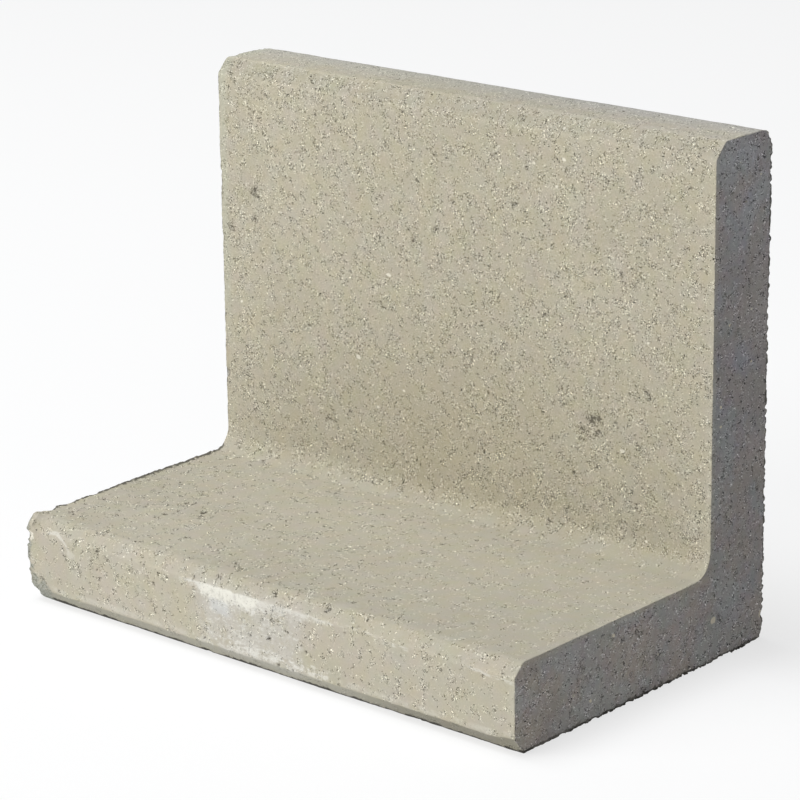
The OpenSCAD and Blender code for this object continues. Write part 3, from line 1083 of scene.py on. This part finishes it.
# broad differences of shade: painted shade at the lower middle of the stem and in the hollow, painted light across the
# foot's top, and darker bevels
# painted shade: darker and browner towards the lower middle of the stem
low_mid_shade = mul(mul(inv(rng_(Z, 120, 250)), band(X, -70, 90, 70)), mul(rng_(Y, SF - 12, SF - 2), inv(A_END)))
col = mixc(mul(low_mid_shade, 0.40), col, (0.436, 0.386, 0.272))
# painted shade in the hollow where the foot meets the stem
hollow_shade = mul(mul(band(Z, FOOT + 1.5, FOOT + 17, 3.0), fore), mul(rng_(Y, SF - 26, SF - 18), inv(A_END)))
foot_left_light = mul(mul(foot_top, inv(rng_(X, -170, -40))), inv(rng_(Y, -95, -50)))
shade = ma(hollow_shade, -0.065, 1.0)
# painted light on the foot's top: lighter at the left front, darker towards the right
shade = mul(shade, ma(foot_left_light, 0.060, 1.0))
shade = mul(shade, ma(mul(foot_top, rng_(X, -100, 60)), -0.030, 1.0))
bev_t = mul(mul(band(Y, YF + 0.6, YF + 10.5, 1.2), rng_(Z, FOOT - 11, FOOT - 8)), inv(A_END))
shade = mul(shade, ma(bev_t, -0.070, 1.0))
shade = mul(shade, ma(mul(toe_f, inv(rng_(X, -40, 60))), 0.030, ma(mul(toe_f, rng_(X, 20, 120)), 0.000, 1.0)))
top_l = mul(rng_(Z, HZ - 2.0, HZ - 0.5), inv(A_END))
drag_v = node("ShaderNodeVectorMath", operation="MULTIPLY")
link(P_mm, drag_v.inputs[0])
drag_v.inputs[1].default_value = (0.055, 1.0, 1.0)
drag = noise(drag_v.outputs[0], 3.2, 3, 0.6).outputs["Fac"]
shade = mul(shade, ma(mul(top_l, sub(drag, 0.5)), mul(rng_(X, 40, 200), 0.30), 1.0))
# painted light: the stem's top lighter towards the left end
shade = mul(shade, ma(mul(top_l, rng_(X, -220, -20, 0.110, 0.020)), 1.0, 1.0))
shade = mul(shade, ma(mul(top_l, rng_(X, 80, 200)), 0.030, 1.0))
e_low = mul(A_END, inv(rng_(Z, 215, 340, 0.0, 1.0, "LINEAR")))
shade = mul(shade, ma(A_END, -0.018, 1.0))
shade = mul(shade, ma(mul(e_low, rng_(Y, 20, 90, 0.040, 0.115)), -1.0, 1.0))
stem_f = mul(mul(rng_(Y, SF - 12, SF - 2), inv(rng_(Y, SF + 4, SF + 10))), inv(A_END))
stem_up = mul(mul(rng_(Z, 180, 330), rng_(X, -180, -40)), stem_f)
shade = mul(shade, ma(stem_up, -0.022, 1.0))
# painted shade: the stem's face darker towards the bottom
shade = mul(shade, ma(mul(stem_f, inv(rng_(Z, 160, 320))), -0.012, 1.0))
tone = mul(tone, shade)
col = mixc(mul(soft_b, 0.62), col, (0.555, 0.532, 0.480))
col = mixc(mul(s_blue, 0.55), col, (0.640, 0.660, 0.655))
# broad stains on the end face, bluish to brown
stain = noise(shift(P_mm, 88, 15, 62), 46, 3, 0.55).outputs["Fac"]
col = mixc(mul(mul(rng_(stain, 0.42, 0.62), A_END), 0.60), col, (0.380, 0.338, 0.296))
col = mixc(mul(mul(inv(rng_(stain, 0.36, 0.50)), A_END), 0.52), col, (0.378, 0.394, 0.384))

col = mixc(mul(A_END, inv(rng_(Y, 60, 110))), col, (1.0, 0.985, 0.945), "MULTIPLY")
col = mixc(mul(A_END, rng_(Z, 110, 200)), col, (0.980, 0.995, 1.030), "MULTIPLY")
# painted cool skylight on the stem's top, towards the right
col = mixc(mul(rng_(Z, HZ - 2.0, HZ - 0.5), rng_(X, -60, 160)), col, (1.0, 1.0, 1.045), "MULTIPLY")
col = mixc(mul(toe_f, 1.0), col, (0.99, 0.995, 1.02), "MULTIPLY")
toned = node("ShaderNodeVectorMath", operation="SCALE")
link(col, toned.inputs[0])
link(tone, toned.inputs["Scale"])
col = toned.outputs[0]
# dark grains are warmer; bright grains are quartz, not cement: less yellow
col = mixc(mul(mul(inv(rng_(tone, 0.45, 1.0)), inv(A_END)), 0.8), col, (1.015, 1.0, 0.84), "MULTIPLY")
col = mixc(mul(rng_(tone, 1.05, 1.5), 0.60), col, mixc(A_END, (0.645, 0.640, 0.552), (0.56, 0.55, 0.56)))

keep = inv(mul(m_("MAXIMUM", pore, inv(rng_(gb_g, 0.02, 0.10))), 0.75))
# a rubbed, paler line just above the knee of the base bevel
knee_w = rng_(X, 222, 248, BASE_H - 0.2, BASE_H + 2.4)
knee_p = mul(band(sub(Zs, knee_w), 0.6, 5.0, 1.2), mul(toe_f, rng_(soft_n, 0.42, 0.56)))
col = mixc(mul(mul(knee_p, 0.30), keep), col, (0.70, 0.68, 0.61))
col = mixc(mul(mul(strong, 0.84), keep), col, (0.74, 0.725, 0.665))
wisps = mul(mul(mul(band(Xw, -60, 46, 8), band(Zw, 10, 58, 5)), toe_f), rng_(add(mul(streaks, 0.45), mul(breakup, 0.55)), 0.515, 0.60))
specks = mul(mul(mul(band(Xw, -60, 62, 8), band(Zw, 6, 55, 5)), toe_f), rng_(sub(1.0, breakup), 0.60, 0.67))
col = mixc(mul(specks, 0.42), col, (0.300, 0.290, 0.235))
col = mixc(mul(mul(wisps, 0.50), keep), col, (0.74, 0.735, 0.69))
col = mixc(mul(mul(hot, 0.80), keep), col, (0.800, 0.785, 0.705))

# clumps of open pores on the end faces
clump = mul(rng_(noise(shift(P_mm, 12, 90, 33), 15, 3, 0.62).outputs["Fac"], 0.52, 0.64), A_END)
open_n = noise(shift(P_mm, 41, 3, 8), 1.7, 3, 0.66).outputs["Fac"]
clump_d = mul(clump, rng_(open_n, 0.555, 0.64))
clump_l = mul(clump, rng_(inv(open_n), 0.57, 0.65))
col = mixc(mul(clump_d, 0.52), col, (0.105, 0.092, 0.085))
col = mixc(mul(clump_l, 0.30), col, (0.500, 0.485, 0.460))
# pale stones, then dark holes over everything
col = mixc(mul(pale, 0.60), col, (0.72, 0.68, 0.56))
stone = mixc(A_END, (0.80, 0.765, 0.655), (0.66, 0.60, 0.47))
col = mixc(mul(rng_(A_FLECK, 0.25, 0.75), 0.85), col, stone)
col = mixc(mul(hole, 0.58), col, (0.125, 0.115, 0.09))
# broken groups of pinholes in the pits: painted shade in them, painted highlights beside them
spk = noise(shift(P_mm, 61, 14, 4), 0.95, 2, 0.62).outputs["Fac"]
in_spk = rng_(A_SPECK, 0.04, 0.22)
spk_shade = mul(rng_(ma(A_SPECK, 0.19, spk), 0.675, 0.73), in_spk)
spk_highlight = mul(rng_(ma(A_SPECK, 0.14, inv(spk)), 0.655, 0.73), in_spk)
pit_dent_and_shade = mul(rng_(ma(sub(spk, 0.5), 2.2, A_PIT), 0.34, 0.56), rng_(A_PIT, 0.10, 0.30))
# painted shade in the pits and their pinholes
dark = m_("MAXIMUM", mul(pit_dent_and_shade, 0.70), mul(spk_shade, 0.80))
# painted highlight beside the pinholes
col = mixc(mul(spk_highlight, 0.38), col, (0.70, 0.67, 0.58))
col = mixc(dark, col, mixc(A_END, (0.095, 0.082, 0.060), (0.10, 0.090, 0.082)))
bevels = mul(mul(rng_(Z, HZ - STEM_BEV - 1.5, HZ - STEM_BEV + 1.5), inv(rng_(Y, SF + STEM_BEV - 1.5, SF + STEM_BEV + 1.5))), inv(A_END))
col = mixc(mul(bevels, 0.18), col, (0.08, 0.08, 0.07))

# the base bevel, which faces down, darkened: painted shade with some grime; the lower and broken rims darkened: painted
# shade with some dirt
base_shade_grime = mul(mul(inv(rng_(sub(ma(sub(wz, 0.5), 2.4, Z), knee_w), -1.4, 0.4)), inv(rng_(Y, YF + 10.5, YF + 12.0))), inv(A_END))
col = mixc(mul(base_shade_grime, 0.62), col, mixc(rng_(X, 70, 170), mixc(rng_(X, -190, -60), (0.265, 0.262, 0.222), (0.305, 0.302, 0.258)), (0.125, 0.121, 0.094)))
rim_n = noise(shift(P_mm, 17, 81, 5), 4.2, 3, 0.68).outputs["Fac"]
edge_shade_m = mul(rng_(ma(sub(rim_n, 0.5), 1.6, A_EDGE_SHADE), 0.46, 0.80), rng_(A_EDGE_SHADE, 0.10, 0.30))
low_l = ma(rng_(mid.outputs["Fac"], 0.46, 0.56), -1.3, ma(inv(rng_(X, -200, -150)), -1.2, Z))
# painted shadow: a dark ragged line along the bottom edge
under_edge_shadow = inv(rng_(ma(sub(rim_n, 0.5), 6.0, ma(A_END, 1.0, low_l)), 1.2, 2.4))
col = mixc(mul(edge_shade_m, 0.84), col, (0.080, 0.076, 0.062))
col = mixc(mul(under_edge_shadow, 0.90), col, (0.030, 0.028, 0.022))
edge_shade_m = m_("MAXIMUM", edge_shade_m, under_edge_shadow)
# the crumbled lower left corner is greyer
corner = rng_(ma(sub(rim_n, 0.5), 1.8, A_GREY), 0.22, 0.80)
col = mixc(mul(corner, 0.80), col, mixc(rng_(spk, 0.42, 0.56), (0.120, 0.130, 0.100), (0.375, 0.385, 0.345)))
# worn arrises: the skin is rubbed off in places
wear = mul(mul(rng_(A_ARR, 0.35, 0.80), rng_(soft_n, 0.44, 0.58)), inv(m_("MAXIMUM", edge_shade_m, corner)))
col = mixc(mul(wear, 0.28), col, (0.62, 0.59, 0.51))

# relief too small to model
height = mul(mul(sub(0.62, gb.outputs["Distance"]), ma(gb_g, 0.8, 0.2)), mul(act, 0.42))
height = add(height, mul(mul(sub(0.55, ga.outputs["Distance"]), sub(bead, pore)), mul(act, 0.55)))
height = add(height, mul(sub(fine_n, 0.5), mul(act, 0.70)))
height = sub(height, mul(pit_dent_and_shade, 0.7))
bump = node("ShaderNodeBump")
bump.inputs["Strength"].default_value = 1.0
bump.inputs["Distance"].default_value = 0.001
link(height, bump.inputs["Height"])

rough = ma(sub(gb_b, 0.5), 0.10, 0.90)
rough = m_("MINIMUM", ma(A_PIT, 0.05, rough), 1.0)

bsdf = node("ShaderNodeBsdfPrincipled")
bsdf.inputs["Specular IOR Level"].default_value = 0.30
bsdf.inputs["Metallic"].default_value = 0.0
link(col, bsdf.inputs["Base Color"])
link(rough, bsdf.inputs["Roughness"])
link(bump.outputs[0], bsdf.inputs["Normal"])
out = node("ShaderNodeOutputMaterial")
link(bsdf.outputs[0], out.inputs["Surface"])
mesh.materials.append(mat)

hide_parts(NODE)
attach(piece, "root")

# ---------------------------------------------------------------- floor, light, camera
FLOOR_Z = Z0 / MM
fm = bpy.data.meshes.new("floor")
R_ = 14.0
fm.from_pydata([(-R_, -R_, FLOOR_Z), (R_, -R_, FLOOR_Z), (R_, R_, FLOOR_Z), (-R_, R_, FLOOR_Z)], [], [(0, 1, 2, 3)])
floor = bpy.data.objects.new("floor", fm)
bpy.context.scene.collection.objects.link(floor)
fmat = bpy.data.materials.new("floor_white")
fmat.use_nodes = True
ft = fmat.node_tree
fb = ft.nodes["Principled BSDF"]
fb.inputs["Base Color"].default_value = (0.275, 0.275, 0.275, 1)
fb.inputs["Roughness"].default_value = 0.9
fb.inputs["Specular IOR Level"].default_value = 0.1
fb.inputs["Emission Color"].default_value = (1, 1, 1, 1)
fb.inputs["Emission Strength"].default_value = 0.71
fm.materials.append(fmat)

scene = bpy.context.scene
world = bpy.data.worlds.new("studio")
scene.world = world
world.use_nodes = True
wt = world.node_tree
for n_ in list(wt.nodes):
    wt.nodes.remove(n_)
wo = wt.nodes.new("ShaderNodeOutputWorld")
lp = wt.nodes.new("ShaderNodeLightPath")
b1 = wt.nodes.new("ShaderNodeBackground")
b2 = wt.nodes.new("ShaderNodeBackground")
mxs = wt.nodes.new("ShaderNodeMixShader")
b1.inputs[0].default_value = (0.93, 0.98, 1.06, 1)
b1.inputs[1].default_value = 0.062
b2.inputs[0].default_value = (1, 1, 1, 1)
b2.inputs[1].default_value = 1.0
wt.links.new(lp.outputs["Is Camera Ray"], mxs.inputs[0])
wt.links.new(b1.outputs[0], mxs.inputs[1])
wt.links.new(b2.outputs[0], mxs.inputs[2])
wt.links.new(mxs.outputs[0], wo.inputs[0])


def area(name, direction, dist, size, power, color):
    """A square soft light that shines on the element from a direction."""
    d = Vector(direction).normalized()
    ld = bpy.data.lights.new(name, "AREA")
    ld.shape = "SQUARE"
    ld.size = size
    ld.energy = power
    ld.color = color
    ob = bpy.data.objects.new(name, ld)
    aim = Vector((CX / MM, CY / MM, FLOOR_Z + 0.18))
    ob.location = aim + d * dist
    ob.rotation_euler = (-d).to_track_quat("-Z", "Y").to_euler()
    scene.collection.objects.link(ob)
    return ob


area("key", (-0.45, -0.80, 0.38), 6.5, 4.3, 275.0, (1.01, 1.0, 0.975))
area("top", (-0.25, -0.15, 0.95), 6.5, 4.3, 352.0, (0.985, 1.0, 1.02))

cam_d = bpy.data.cameras.new("camera")
cam_d.sensor_fit = "HORIZONTAL"
cam_d.sensor_width = 36.0
cam_d.lens = 148.739
cam_d.clip_end = 60.0
cam_d.dof.use_dof = False
cam = bpy.data.objects.new("camera", cam_d)
rx = Vector((0.752534, 0.658417, -0.013438))
ux = Vector((-0.187315, 0.233565, 0.954128))
bx = Vector((0.631352, -0.715496, 0.299097))
cam.matrix_world = Matrix(((rx[0], ux[0], bx[0], 1.60627), (rx[1], ux[1], bx[1], -1.80392),
                           (rx[2], ux[2], bx[2], 0.93517), (0, 0, 0, 1)))
scene.collection.objects.link(cam)
scene.camera = cam

scene.view_settings.view_transform = "Standard"
scene.view_settings.look = "None"
scene.view_settings.exposure = 0.0
scene.view_settings.gamma = 1.0

# ---------------------------------------------------------------- view layer update
bpy.context.view_layer.update()
